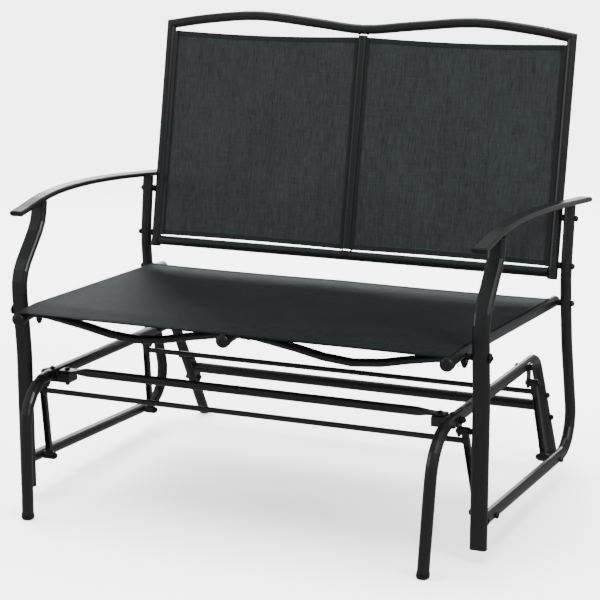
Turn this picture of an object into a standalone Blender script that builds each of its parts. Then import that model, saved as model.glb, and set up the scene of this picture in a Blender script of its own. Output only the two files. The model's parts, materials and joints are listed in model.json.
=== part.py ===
"""Two-seat glider bench: a fixed base, two hangers and a swing frame with sling seat and back.

X runs across the bench, -Y is the front, +Z is up and the floor is Z = 0.
The origin lies on the floor, in the middle of the bench's footprint.
Names ending in _left are on the -X side, and those ending in _right on the +X side.
"""
import math

import bmesh
import bpy
from mathutils import Vector

# ---------------------------------------------------------------- stock
TUBE_R = 0.0125            # main round tube of base and swing
BACK_R = 0.011             # round tube of the back frame
CROSSBAR_R = 0.0095        # front crossbar and rear seat tube
ROD_R = 0.006              # cross rod of a hanger
BOLT_R = 0.0038            # bolt shank
HEAD_R = 0.0068            # bolt head and dome nut
HEAD_H = 0.0055
WASHER_R = 0.0105          # broad washer under the seat front bolts
SPACER_R = 0.0078          # spacer tube on a bolt between two pieces
BOLT_CLEAR = 0.0005        # radial clearance of a drilled hole
PIVOT_CLEAR = 0.0004       # radial clearance of a hanger's barrel on its bolt
GAP = 0.0003               # between pieces that rest on each other
SLANT_GAP = 0.0008         # between a slanting seat rail and what bears on its side
PLATE = 0.003              # sheet thickness of brackets
SLING_T = 0.0026           # thickness of a sling
ROUND_SIDES = 16
BOLT_SIDES = 10

# ---------------------------------------------------------------- widths
SWING_X = 0.520            # plane of the swing's side tubes, which all other widths follow
BASE_X = SWING_X - 0.067   # plane of the base's side frames
POST_X = SWING_X - 0.005
SEAT_RAIL_X = (SWING_X - 0.0475, SWING_X - 0.031)   # seat rail's front tip and rear end
BACK_X = SWING_X - 0.029   # centre of an outer upright
SEAT_SLING_LAP = 0.006     # sling past the rail's centre line

# ---------------------------------------------------------------- base
FRONT_FOOT_Y = -0.440
FRONT_FOOT_IN = 0.010      # how far a front leg leans inwards at its foot
REAR_FOOT_Y = 0.4398
FRONT_BEND = (-0.416, 0.2865)   # corner of front leg and top run, before rounding (y, z)
REAR_BEND = (0.272, 0.2740)     # corner of top run and rear leg, before rounding (y, z)
FRONT_BEND_R = 0.095
REAR_BEND_R = 0.050
CAP_WALL = 0.0010
CAP_FLOOR = 0.005
CAP_HEIGHT = 0.012
CROSSBAR_Y = -0.292
PINCH_TAPER = 0.035        # from a pressed end to the full round
PINCH_HALF_T = 0.0026
PINCH_HALF_W = 0.0135
BLOCK_WIDTH = 0.030        # bracket's block under a pinched end
BLOCK_DEPTH = 0.036
REAR_BOLT_Z = (0.172, 0.110)    # upper and lower bolts of the rear crossbar
END_PLATE_WIDTH = 0.024
END_PLATE_T = 0.004

# ---------------------------------------------------------------- hangers
PIVOT_Y = -0.304           # front top pivot
PIVOT_Z = FRONT_BEND[1] - 0.022
REAR_PIVOT_SHIFT = (0.4785, -0.0220)   # from front pivots to rear pivots (y, z)
HANGER_REACH = (0.046, -0.1820)        # from a top pivot to its bottom pivot (y, z)
ROD_DROP = 0.022           # rod below the top pivot, along the link
LINK_HALF_X = 0.0065
LINK_HALF_Y = 0.0050
GROOVE_HALF_X = 0.0042
GROOVE_DEPTH = 0.0060
BARREL_R = 0.0088
TOP_BARREL_LENGTH = 0.018
LOW_BARREL_LENGTH = 0.024
BRACKET_HALF_Y = 0.0125

# ---------------------------------------------------------------- swing
POST_HALF_X = 0.018
POST_HALF_Y = 0.009
POST_PATH = ((-0.315, 0.030), (-0.315, 0.330), (-0.330, 0.498), (-0.241, 0.600), (-0.234, 0.6430))
POST_BENDS = (0.30, 0.085, 0.085)
RAIL_START_Z = PIVOT_Z + HANGER_REACH[1] + 0.0027
SIDE_REAR_CORNER = (0.366, RAIL_START_Z + REAR_PIVOT_SHIFT[1] - 0.0089)   # bottom rail and rear post, before rounding
SIDE_UPPER = ((0.289, 0.310), (0.2615, 0.460), (0.2815, 0.6262))
SIDE_BENDS = (0.075, 0.30, 0.30)
ARM_PATH = ((-0.336, 0.6340), (-0.174, 0.6565), (0.056, 0.6505), (0.406, 0.6180))
ARM_X = tuple(SWING_X + shift for shift in (-0.009, -0.005, 0.0, 0.001))
ARM_HALF_X = 0.0165
ARM_HALF_Z = 0.0060

# ---------------------------------------------------------------- seat
SEAT_RAIL_PATH = ((0.290, 0.4042), (-0.329, 0.4285), (-0.404, 0.4232))
SEAT_RAIL_BEND = 0.10
SEAT_REAR_TUBE_Y = 0.246
SPREADER_Y = -0.312
SPREADER_SAG = 0.030
SPREADER_FLAT = 0.024       # pressed length under a rail
SPREADER_HALF_Y = 0.011
SPREADER_HALF_Z = 0.0080
SEAT_SLING_REAR_Y = 0.232
SEAT_SLING_FRONT_Y = -0.402
SEAT_SLING_RISE = TUBE_R + SLING_T / 2 + 0.0014   # middle of the sling above the rails' centre line
SEAT_FRONT_BOLT_Y = -0.323
SEAT_FRONT_BOLT_DROP = 0.006   # bolt below the rail's centre line
SEAT_REAR_BOLT_Z = 0.406

# ---------------------------------------------------------------- back
BACK_LOW = (0.2645, 0.491) # a point on the back's plane (y, z)
BACK_LEAN = 0.20           # rearward run for each unit of height
BACK_BOTTOM_Z = 0.474
ARCH_HALF = ((0.0, 0.9835), (0.2444, 0.9945), (0.5397, 1.0065), (0.8045, 0.9960), (1.0, 0.9810))   # (share of BACK_X, z)
BACK_SLING_TOP_Z = 0.966
BACK_BOLT_Z = (0.595, 0.491)
BLIND_DEPTH = 0.004        # how far a back bolt's hole goes past the upright's centre line

BLACK_STEEL = ("black_powder_coat", (0.020, 0.021, 0.022), 0.42, 0.0)
BLACK_PLASTIC = ("black_plastic", (0.012, 0.012, 0.013), 0.55, 0.0)
BLACK_BOLT = ("black_fastener", (0.015, 0.015, 0.016), 0.38, 0.3)
BACK_FABRIC = ("back_sling_fabric", (0.042, 0.050, 0.054), 0.85, 0.0)
SEAT_FABRIC = ("seat_sling_fabric", (0.026, 0.031, 0.034), 0.85, 0.0)

SIDES = (("left", -1), ("right", 1))


# ================================================================ scene helpers
def clear_scene():
    for item in list(bpy.data.objects):
        bpy.data.objects.remove(item, do_unlink=True)


def make_material(finish):
    name, colour, roughness, metallic = finish
    material = bpy.data.materials.get(name) or bpy.data.materials.new(name)
    material.use_nodes = True
    shader = material.node_tree.nodes["Principled BSDF"]
    shader.inputs["Base Color"].default_value = (*colour, 1.0)
    shader.inputs["Roughness"].default_value = roughness
    shader.inputs["Metallic"].default_value = metallic
    return material


def make_empty(name, location):
    empty = bpy.data.objects.new(name, None)
    empty.location = location
    bpy.context.collection.objects.link(empty)
    return empty


def make_piece(name, work, body, finish, anchor=(0, 0, 0)):
    """Turn a bmesh in world coordinates into an object whose origin is the anchor."""
    bmesh.ops.recalc_face_normals(work, faces=work.faces[:])
    mesh = bpy.data.meshes.new(name)
    bmesh.ops.translate(work, vec=-Vector(anchor), verts=work.verts[:])
    work.to_mesh(mesh)
    work.free()
    mesh.materials.append(make_material(finish))
    mesh.shade_smooth()
    mesh.set_sharp_from_angle(angle=math.radians(40))
    piece = bpy.data.objects.new(name, mesh)
    bpy.context.collection.objects.link(piece)
    piece.parent = body
    piece.location = Vector(anchor) - body.location
    return piece


def boolean(target, tool, operation):
    """Join or cut the target with the tool, then remove the tool."""
    bpy.context.view_layer.update()
    modifier = target.modifiers.new("shape", "BOOLEAN")
    modifier.operation = operation
    modifier.solver = "EXACT"
    modifier.object = tool
    bpy.context.view_layer.update()
    graph = bpy.context.evaluated_depsgraph_get()
    result = bpy.data.meshes.new_from_object(target.evaluated_get(graph))
    target.modifiers.remove(modifier)
    target.data = result
    result.shade_smooth()
    result.set_sharp_from_angle(angle=math.radians(40))
    bpy.data.objects.remove(tool, do_unlink=True)


# ================================================================ shapes
def rounded_path(corners, radii):
    """A polyline whose inner corners are rounded to the given radii."""
    corners = [Vector(point) for point in corners]
    path = [corners[0]]
    for before, corner, after, radius in zip(corners, corners[1:], corners[2:], radii):
        incoming = (corner - before).normalized()
        outgoing = (after - corner).normalized()
        turn = incoming.angle(outgoing)
        start = corner - incoming * radius * math.tan(turn / 2)
        inward = (outgoing - incoming * incoming.dot(outgoing)).normalized()
        centre = start + inward * radius
        steps = max(2, round(math.degrees(turn) / 14))
        for index in range(steps + 1):
            angle = turn * index / steps
            path.append(centre + incoming * radius * math.sin(angle) - inward * radius * math.cos(angle))
    path.append(corners[-1])
    return path


def spline_path(points, steps):
    """A smooth curve through all the points."""
    points = [Vector(point) for point in points]
    padded = [2 * points[0] - points[1], *points, 2 * points[-1] - points[-2]]
    path = []
    for p0, p1, p2, p3 in zip(padded, padded[1:], padded[2:], padded[3:]):
        for index in range(steps):
            t = index / steps
            path.append(0.5 * (2 * p1 + (p2 - p0) * t + (2 * p0 - 5 * p1 + 4 * p2 - p3) * t * t
                               + (3 * p1 - p0 - 3 * p2 + p3) * t ** 3))
    path.append(points[-1])
    return path


def in_plane(x, points):
    """Points given as (y, z), placed at one x."""
    return [Vector((x, y, z)) for y, z in points]


def oval(half_u, half_v, count):
    """A circle, or a flat oval with round ends where the halves differ."""
    small = min(half_u, half_v)
    outline = []
    for index in range(count):
        angle = 2 * math.pi * (index + 0.5) / count
        u = small * math.cos(angle) + math.copysign(half_u - small, math.cos(angle))
        v = small * math.sin(angle) + math.copysign(half_v - small, math.sin(angle))
        outline.append((u, v))
    return outline


def rectangle(half_u, half_v):
    return [(half_u, half_v), (-half_u, half_v), (-half_u, -half_v), (half_u, -half_v)]


def skin(rings):
    """A closed body through rings of points, with flat ends."""
    work = bmesh.new()
    rows = [[work.verts.new(point) for point in ring] for ring in rings]
    count = len(rows[0])
    for low, high in zip(rows, rows[1:]):
        for index in range(count):
            following = (index + 1) % count
            work.faces.new((low[index], low[following], high[following], high[index]))
    work.faces.new(rows[0])
    work.faces.new(list(reversed(rows[-1])))
    return work


def slide_to_plane(ring, direction, plane):
    """Move a ring's points along the direction until they lie on the plane."""
    point, normal = Vector(plane[0]), Vector(plane[1])
    return [spot + direction * ((point - spot).dot(normal) / direction.dot(normal)) for spot in ring]


def sweep(path, across, outline, start_plane=None, end_plane=None):
    """Carry an outline along a path. Outline u runs along across, and v square to it."""
    across = Vector(across).normalized()
    rings = []
    for index, point in enumerate(path):
        before = path[max(index - 1, 0)]
        after = path[min(index + 1, len(path) - 1)]
        tangent = (after - before).normalized()
        normal = tangent.cross(across).normalized()
        shape = outline(index) if callable(outline) else outline
        rings.append([point + across * u + normal * v for u, v in shape])
    if start_plane:
        rings[0] = slide_to_plane(rings[0], (path[1] - path[0]).normalized(), start_plane)
    if end_plane:
        rings[-1] = slide_to_plane(rings[-1], (path[-1] - path[-2]).normalized(), end_plane)
    return skin(rings)


def turned(axis_point, profile, sides, axis=(1, 0, 0)):
    """A body of revolution. The profile lists (place along the axis, radius)."""
    axis = Vector(axis).normalized()
    helper = Vector((0, 0, 1)) if abs(axis.z) < 0.9 else Vector((0, 1, 0))
    first = axis.cross(helper).normalized()
    second = axis.cross(first)
    rings = []
    for place, radius in profile:
        centre = Vector(axis_point) + axis * place
        rings.append([centre + first * u + second * v for u, v in oval(radius, radius, sides)])
    return skin(rings)


def drill(piece, body, point, radius, reach, axis=(1, 0, 0)):
    """Cut a round hole through a piece, as far as reach on both sides of the point."""
    tool = make_piece("drill", turned(point, ((-reach, radius), (reach, radius)), 12, axis), body, BLACK_BOLT)
    boolean(piece, tool, "DIFFERENCE")


def bolt(name, body, side, y, z, inner_x, outer_x, washer=False, head=True, spacer=None):
    """A bolt along X from inner_x to outer_x, with a dome nut outside.

    It has a round head inside unless it is screwed into a blind hole, and a spacer, given
    by its two ends' x, fills the gap between two pieces that it joins.
    """
    length = outer_x - inner_x
    profile = [(0, BOLT_R)]
    if head:
        profile = [(-HEAD_H, 0.55 * HEAD_R), (-0.7 * HEAD_H, 0.88 * HEAD_R), (-0.3 * HEAD_H, HEAD_R),
                   (0, HEAD_R), (0, BOLT_R)]
    if spacer:
        low, high = (x - inner_x for x in spacer)
        profile += [(low, BOLT_R), (low, SPACER_R), (high, SPACER_R), (high, BOLT_R)]
    nut_base = WASHER_R if washer else HEAD_R
    profile += [(length, BOLT_R), (length, nut_base), (length + 0.3 * HEAD_H, nut_base),
                (length + 0.32 * HEAD_H, HEAD_R), (length + 0.75 * HEAD_H, 0.86 * HEAD_R),
                (length + 1.1 * HEAD_H, 0.5 * HEAD_R)]
    anchor = (side * inner_x, y, z)
    return make_piece(name, turned(anchor, profile, BOLT_SIDES, (side, 0, 0)), body, BLACK_BOLT, anchor)


# ================================================================ lines that pieces share
def base_corners(side):
    corners = in_plane(side * BASE_X, ((FRONT_FOOT_Y, 0.0), FRONT_BEND, REAR_BEND, (REAR_FOOT_Y, 0.0)))
    corners[0].x -= side * FRONT_FOOT_IN
    return corners


def top_run_z(y):
    """Height of the base's top run, at its centre line."""
    (y0, z0), (y1, z1) = FRONT_BEND, REAR_BEND
    return z0 + (y - y0) * (z1 - z0) / (y1 - y0)


def rear_leg_y(z):
    """Depth of the rear leg's centre line at a height."""
    return REAR_FOOT_Y + (REAR_BEND[0] - REAR_FOOT_Y) * z / REAR_BEND[1]


def seat_rail_z(y):
    """Height of a seat rail's centre line on its straight part."""
    (y0, z0), (y1, z1) = SEAT_RAIL_PATH[0], SEAT_RAIL_PATH[1]
    return z0 + (y - y0) * (z1 - z0) / (y1 - y0)


def seat_rail_x(y):
    """Distance of a side rail's centre line from the middle. The two rails part towards the rear."""
    front, rear = SEAT_RAIL_PATH[-1][0], SEAT_RAIL_PATH[0][0]
    return SEAT_RAIL_X[0] + (SEAT_RAIL_X[1] - SEAT_RAIL_X[0]) * (y - front) / (rear - front)


def seat_rail_path(side):
    corners = [Vector((side * seat_rail_x(y), y, z)) for y, z in SEAT_RAIL_PATH]
    return rounded_path(corners, (SEAT_RAIL_BEND,))


def back_y(z):
    """Depth of the back's plane at a height."""
    return BACK_LOW[0] + (z - BACK_LOW[1]) * BACK_LEAN


def arch_z(x):
    """Height of the top rail's centre line, for clear lengths under it."""
    spots = [(abs(point.x), point.z) for point in arch_path() if point.x >= 0]
    return min(spots, key=lambda spot: abs(spot[0] - abs(x)))[1]


def arch_path():
    half = [Vector((share * BACK_X, back_y(z), z)) for share, z in ARCH_HALF]
    mirrored = [Vector((-point.x, point.y, point.z)) for point in reversed(half[1:])]
    return spline_path(mirrored + half, 4)


def arm_path(side):
    return spline_path([(side * x, y, z) for x, (y, z) in zip(ARM_X, ARM_PATH)], 5)


def arm_seat(y):
    """The plane just under the armrest at a depth, where a post's top ends."""
    points = arm_path(1)
    for low, high in zip(points, points[1:]):
        if low.y <= y <= high.y:
            slope = (high.z - low.z) / (high.y - low.y)
            z = low.z + slope * (y - low.y) - ARM_HALF_Z * math.hypot(1, slope) - 2 * GAP
            return (0, y, z), (0, -slope, 1)
    raise ValueError("no armrest above this depth")


def side_tube_path(x):
    start_y = POST_PATH[0][0] + POST_HALF_Y + GAP
    corners = ((start_y, RAIL_START_Z), SIDE_REAR_CORNER, *SIDE_UPPER)
    return rounded_path(in_plane(x, corners), SIDE_BENDS)


def side_tube_y(z):
    """Depth of the rear post's centre line at a height."""
    points = (SIDE_REAR_CORNER, *SIDE_UPPER)
    for (y0, z0), (y1, z1) in zip(points, points[1:]):
        if z0 <= z <= z1:
            return y0 + (y1 - y0) * (z - z0) / (z1 - z0)
    return points[-1][0]


def pivots():
    """Top and bottom pivot of each hanger, as (name, top y, top z, bottom y, bottom z)."""
    rows = []
    for name, share in (("front", 0), ("rear", 1)):
        y = PIVOT_Y + share * REAR_PIVOT_SHIFT[0]
        z = PIVOT_Z + share * REAR_PIVOT_SHIFT[1]
        rows.append((name, y, z, y + HANGER_REACH[0], z + HANGER_REACH[1]))
    return rows


TUBE = oval(TUBE_R, TUBE_R, ROUND_SIDES)
BASE_OUTER_X = BASE_X + TUBE_R
BASE_INNER_X = BASE_X - TUBE_R
BRACKET_X = BASE_OUTER_X + 0.0005          # inner face of a hanger bracket
TOP_BARREL_X = BRACKET_X + PLATE + 0.001   # inner end of a top barrel
LOW_BARREL_X = SWING_X - TUBE_R - 0.0015 - LOW_BARREL_LENGTH


# ================================================================ base
def make_side_frame(side, label, body):
    path = rounded_path(base_corners(side), (FRONT_BEND_R, REAR_BEND_R))
    floor = ((0, 0, CAP_FLOOR + GAP), (0, 0, 1))
    frame = make_piece("base_side_frame_" + label, sweep(path, (1, 0, 0), TUBE, floor, floor),
                       body, BLACK_STEEL, (side * (BASE_X - FRONT_FOOT_IN), FRONT_FOOT_Y, 0))
    for z in REAR_BOLT_Z:
        drill(frame, body, (side * BASE_X, rear_leg_y(z), z), BOLT_R + BOLT_CLEAR, 2 * TUBE_R)


def make_foot_cap(name, body, foot, knee):
    """A cup over a leg's end, with all its rims level whatever the leg's lean."""
    foot, knee = Vector(foot), Vector(knee)
    direction = (knee - foot).normalized()
    normal = direction.cross(Vector((1, 0, 0))).normalized()
    outer, inner = TUBE_R + GAP + CAP_WALL, TUBE_R + GAP
    profile = ((0, outer - 0.0025), (0.003, outer), (CAP_HEIGHT, outer), (CAP_HEIGHT, inner), (CAP_FLOOR, inner))
    rings = []
    for height, radius in profile:
        centre = foot + direction * (height / direction.z)
        ring = [centre + Vector((u, 0, 0)) + normal * v for u, v in oval(radius, radius, ROUND_SIDES)]
        rings.append(slide_to_plane(ring, direction, ((0, 0, height), (0, 0, 1))))
    make_piece(name, skin(rings), body, BLACK_PLASTIC, foot)


def pinched_bar(half_length, full, flat_length, sag=0.0):
    """Path and outlines of a bar along X whose two ends are pressed flat, full being its half sizes.

    The path lists (x, height), and the bar hangs down by sag at its middle.
    """
    steps = [0.0, flat_length] + [flat_length + PINCH_TAPER * share for share in (0.25, 0.5, 0.75, 1.0)]
    rest = half_length - steps[-1]
    steps += [steps[-1] + rest * share for share in (0.33, 0.66)]
    half = [step - half_length for step in steps]
    places = half + [0.0] + [-x for x in reversed(half)]
    spots = []
    outlines = []
    for x in places:
        from_flat = max(0.0, half_length - abs(x) - flat_length)
        share = min(1.0, from_flat / PINCH_TAPER)
        blend = share * share * (3 - 2 * share)
        along = min(1.0, from_flat / (half_length - flat_length))
        spots.append((x, -sag * math.sin(along * math.pi / 2) ** 2))
        half_w = PINCH_HALF_W + (full[0] - PINCH_HALF_W) * blend
        half_t = PINCH_HALF_T + (full[1] - PINCH_HALF_T) * blend
        outlines.append(oval(half_w, half_t, ROUND_SIDES))
    return spots, outlines


def make_front_crossbar(body):
    tongue_z = top_run_z(CROSSBAR_Y) + 0.0065
    half_length = BASE_INNER_X - 0.004
    spots, outlines = pinched_bar(half_length, (CROSSBAR_R, CROSSBAR_R), BLOCK_WIDTH)
    path = [Vector((x, CROSSBAR_Y, tongue_z)) for x, _ in spots]
    make_piece("front_crossbar", sweep(path, (0, 1, 0), lambda index: outlines[index]),
               body, BLACK_STEEL, (0, CROSSBAR_Y, tongue_z))
    for label, side in SIDES:
        make_crossbar_bracket(side, label, body, tongue_z)


def make_crossbar_bracket(side, label, body, tongue_z):
    """A plate under the side tube with a block beside it that carries the crossbar's end."""
    block_outer = BASE_INNER_X - 0.001
    block_inner = block_outer - BLOCK_WIDTH
    plate_top = top_run_z(CROSSBAR_Y + BLOCK_DEPTH / 2) - TUBE_R - 2 * GAP
    plate_outer = BASE_X + 0.0055
    y0, y1 = CROSSBAR_Y - BLOCK_DEPTH / 2, CROSSBAR_Y + BLOCK_DEPTH / 2
    outline = ((block_inner, plate_top - PLATE), (plate_outer, plate_top - PLATE), (plate_outer, plate_top),
               (block_outer, plate_top), (block_outer, tongue_z - PINCH_HALF_T - GAP),
               (block_inner, tongue_z - PINCH_HALF_T - GAP))
    rings = [[Vector((side * x, y, z)) for x, z in outline] for y in (y0, y1)]
    make_piece("crossbar_bracket_" + label, skin(rings), body, BLACK_STEEL, (side * BASE_X, CROSSBAR_Y, plate_top))


def make_rear_crossbar(body):
    """A tube with a plate at each end that lies along the inner side of the rear leg."""
    z = sum(REAR_BOLT_Z) / 2
    y = rear_leg_y(z)
    plate_outer = BASE_INNER_X - GAP
    plate_inner = plate_outer - END_PLATE_T
    along = Vector((0, rear_leg_y(0) - rear_leg_y(1), -1)).normalized()
    square = along.cross(Vector((1, 0, 0))).normalized()
    half_span = (REAR_BOLT_Z[0] - REAR_BOLT_Z[1]) / 2 / abs(along.z) + 0.013
    bar = make_piece("rear_crossbar", turned((0, y, z), ((-plate_inner - 0.001, TUBE_R),
                                                         (plate_inner + 0.001, TUBE_R)), ROUND_SIDES),
                     body, BLACK_STEEL, (0, y, z))
    for label, side in SIDES:
        rings = []
        for x in (plate_inner, plate_outer):
            shape = oval(half_span, END_PLATE_WIDTH / 2, ROUND_SIDES)
            rings.append([Vector((side * x, y, z)) + along * u + square * v for u, v in shape])
        plate = make_piece("plate", skin(rings), body, BLACK_STEEL)
        boolean(bar, plate, "UNION")
    for label, side in SIDES:
        for tier, bolt_z in zip(("upper", "lower"), REAR_BOLT_Z):
            bolt_y = rear_leg_y(bolt_z)
            drill(bar, body, (side * plate_inner, bolt_y, bolt_z), BOLT_R + BOLT_CLEAR, 0.012)
            bolt("rear_crossbar_bolt_" + tier + "_" + label, body, side, bolt_y, bolt_z,
                 plate_inner - GAP, BASE_OUTER_X + GAP)


def make_hanger_bracket(name, side, body, y, z):
    """A plate on the outer side of the side tube, from the tube down past the pivot."""
    top = top_run_z(y) + 0.010
    low = z - BRACKET_HALF_Y
    outline = []
    for index in range(9):
        angle = math.pi + math.pi * index / 8
        outline.append((y + BRACKET_HALF_Y * math.cos(angle), z + BRACKET_HALF_Y * math.sin(angle)))
    outline += [(y + BRACKET_HALF_Y, top - 0.004), (y + BRACKET_HALF_Y - 0.004, top),
                (y - BRACKET_HALF_Y + 0.004, top), (y - BRACKET_HALF_Y, top - 0.004)]
    rings = [[Vector((side * x, py, pz)) for py, pz in outline] for x in (BRACKET_X, BRACKET_X + PLATE)]
    plate = make_piece(name, skin(rings), body, BLACK_STEEL, (side * BRACKET_X, y, low))
    drill(plate, body, (side * BRACKET_X, y, z), BOLT_R + BOLT_CLEAR, 0.01)


def make_base(body):
    for label, side in SIDES:
        make_side_frame(side, label, body)
        corners = base_corners(side)
        make_foot_cap("foot_cap_front_" + label, body, corners[0], corners[1])
        make_foot_cap("foot_cap_rear_" + label, body, corners[3], corners[2])
        for name, y, z, _, _ in pivots():
            make_hanger_bracket("hanger_bracket_" + name + "_" + label, side, body, y, z)
            bolt("top_pivot_bolt_" + name + "_" + label, body, side, y, z,
                 BRACKET_X - GAP, TOP_BARREL_X + TOP_BARREL_LENGTH + 0.0008)
    make_front_crossbar(body)
    make_rear_crossbar(body)


# ================================================================ hangers
def make_link(name, side, body, top, low):
    """A grooved bar that slants outwards, with a bored barrel at each end."""
    top_x = TOP_BARREL_X + TOP_BARREL_LENGTH / 2
    low_x = LOW_BARREL_X + LOW_BARREL_LENGTH / 2
    start = Vector((side * top_x, *top))
    end = Vector((side * low_x, *low))
    down = (end - start).normalized()
    across = (Vector((1, 0, 0)) - down * down.x).normalized()
    forward = across.cross(down).normalized()
    if forward.y > 0:
        forward = -forward
    length = (end - start).length

    def ring(along, groove):
        centre = start + down * along
        front = LINK_HALF_Y
        floor = LINK_HALF_Y - groove
        shape = ((-LINK_HALF_X, -front), (LINK_HALF_X, -front), (LINK_HALF_X, front), (GROOVE_HALF_X, front),
                 (GROOVE_HALF_X, floor), (-GROOVE_HALF_X, floor), (-GROOVE_HALF_X, front), (-LINK_HALF_X, front))
        return [centre + across * u + forward * v for u, v in shape]

    slot_start = ROD_DROP + 0.012
    slot_end = length - BARREL_R - 0.008
    rings = [ring(0.0, 0.0008), ring(slot_start, 0.0008), ring(slot_start + 0.004, GROOVE_DEPTH),
             ring(slot_end - 0.004, GROOVE_DEPTH), ring(slot_end, 0.0008), ring(length, 0.0008)]
    link = make_piece(name, skin(rings), body, BLACK_STEEL, start)
    for centre, span in ((start, TOP_BARREL_LENGTH), (end, LOW_BARREL_LENGTH)):
        barrel = turned(centre, ((-span / 2, BARREL_R), (span / 2, BARREL_R)), ROUND_SIDES)
        boolean(link, make_piece("barrel", barrel, body, BLACK_STEEL), "UNION")
    for centre in (start, end):
        drill(link, body, centre, BOLT_R + PIVOT_CLEAR, 0.03)
    return start + down * ROD_DROP


def make_hanger(name, body, top, low):
    ends = [make_link(name + "_link_" + label, side, body, top, low) for label, side in SIDES]
    half_span = ends[1].x - LINK_HALF_X - 2 * GAP
    centre = (0, ends[1].y, ends[1].z)
    rod = turned(centre, ((-half_span, ROD_R), (half_span, ROD_R)), ROUND_SIDES)
    make_piece(name + "_rod", rod, body, BLACK_STEEL, centre)


# ================================================================ swing
def make_swing_side(side, label, body):
    post_path = rounded_path(in_plane(side * POST_X, POST_PATH), POST_BENDS)
    post_shape = oval(POST_HALF_X, POST_HALF_Y, ROUND_SIDES)
    post = make_piece("front_post_" + label,
                      sweep(post_path, (1, 0, 0), post_shape, None, arm_seat(POST_PATH[-1][0])),
                      body, BLACK_STEEL, post_path[0])
    tube_path = side_tube_path(side * SWING_X)
    upright = ((0, tube_path[0].y, 0), (0, 1, 0))
    tube = make_piece("swing_side_tube_" + label, sweep(tube_path, (1, 0, 0), TUBE, upright,
                                                       arm_seat(SIDE_UPPER[-1][0])),
                      body, BLACK_STEEL, tube_path[0])
    arm = arm_path(side)
    make_piece("armrest_" + label, sweep(arm, (1, 0, 0), oval(ARM_HALF_X, ARM_HALF_Z, ROUND_SIDES)),
               body, BLACK_STEEL, arm[0])
    outer = SWING_X + TUBE_R + GAP
    for name, _, _, y, z in pivots():
        drill(tube, body, (side * SWING_X, y, z), BOLT_R + BOLT_CLEAR, 2 * TUBE_R)
        bolt("low_pivot_bolt_" + name + "_" + label, body, side, y, z, LOW_BARREL_X - 0.0008, outer)
    for tier, z in zip(("upper", "lower"), BACK_BOLT_Z):
        y = (side_tube_y(z) + back_y(z)) / 2
        drill(tube, body, (side * SWING_X, y, z), BOLT_R + BOLT_CLEAR, 2 * TUBE_R)
        bolt("back_bolt_" + tier + "_" + label, body, side, y, z, BACK_X - BLIND_DEPTH + GAP, outer,
             head=False, spacer=(BACK_X + BACK_R + GAP, SWING_X - TUBE_R - GAP))
    seat_y = side_tube_y(SEAT_REAR_BOLT_Z)
    drill(tube, body, (side * SWING_X, seat_y, SEAT_REAR_BOLT_Z), BOLT_R + BOLT_CLEAR, 2 * TUBE_R)
    clear = TUBE_R + SLANT_GAP
    rail_x = seat_rail_x(seat_y)
    bolt("seat_rear_bolt_" + label, body, side, seat_y, SEAT_REAR_BOLT_Z, rail_x - clear, outer,
         spacer=(rail_x + clear, SWING_X - TUBE_R - GAP))
    rail_x = seat_rail_x(SEAT_FRONT_BOLT_Y)
    front_z = seat_rail_z(SEAT_FRONT_BOLT_Y) - SEAT_FRONT_BOLT_DROP
    drill(post, body, (side * POST_X, SEAT_FRONT_BOLT_Y, front_z), BOLT_R + BOLT_CLEAR, 2 * POST_HALF_X)
    bolt("seat_front_bolt_" + label, body, side, SEAT_FRONT_BOLT_Y, front_z, rail_x - clear,
         POST_X + POST_HALF_X + GAP, washer=True, spacer=(rail_x + clear, POST_X - POST_HALF_X - GAP))


def make_seat(body):
    for label, side in (*SIDES, ("centre", 0)):
        path = seat_rail_path(side)
        if side == 0:
            rear = SEAT_REAR_TUBE_Y - CROSSBAR_R - GAP
            path[0] = Vector((0, rear, seat_rail_z(rear)))
        rail = make_piece("seat_rail_" + label, sweep(path, (1, 0, 0), TUBE), body, BLACK_STEEL, path[0])
        if side:
            spots = ((side_tube_y(SEAT_REAR_BOLT_Z), SEAT_REAR_BOLT_Z),
                     (SEAT_FRONT_BOLT_Y, seat_rail_z(SEAT_FRONT_BOLT_Y) - SEAT_FRONT_BOLT_DROP))
            for y, z in spots:
                drill(rail, body, (side * seat_rail_x(y), y, z), BOLT_R + BOLT_CLEAR, 2 * TUBE_R)
    half_span = seat_rail_x(SEAT_REAR_TUBE_Y) - TUBE_R - SLANT_GAP
    centre = (0, SEAT_REAR_TUBE_Y, seat_rail_z(SEAT_REAR_TUBE_Y))
    make_piece("seat_rear_tube", turned(centre, ((-half_span, CROSSBAR_R), (half_span, CROSSBAR_R)), ROUND_SIDES),
               body, BLACK_STEEL, centre)
    for label, side in SIDES:
        make_spreader(side, label, body)
    rise = SEAT_SLING_RISE
    start = (SEAT_SLING_REAR_Y, seat_rail_z(SEAT_SLING_REAR_Y) + rise)
    bend = (SEAT_RAIL_PATH[1][0], SEAT_RAIL_PATH[1][1] + rise)
    (y1, z1), (y2, z2) = SEAT_RAIL_PATH[1], SEAT_RAIL_PATH[2]
    end = (SEAT_SLING_FRONT_Y, z1 + (SEAT_SLING_FRONT_Y - y1) * (z2 - z1) / (y2 - y1) + rise)
    path = rounded_path(in_plane(0, (start, bend, end)), (SEAT_RAIL_BEND,))
    outlines = [rectangle(seat_rail_x(point.y) + SEAT_SLING_LAP, SLING_T / 2) for point in path]
    make_piece("seat_sling", sweep(path, (1, 0, 0), lambda index: outlines[index]), body, SEAT_FABRIC, path[0])


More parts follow.
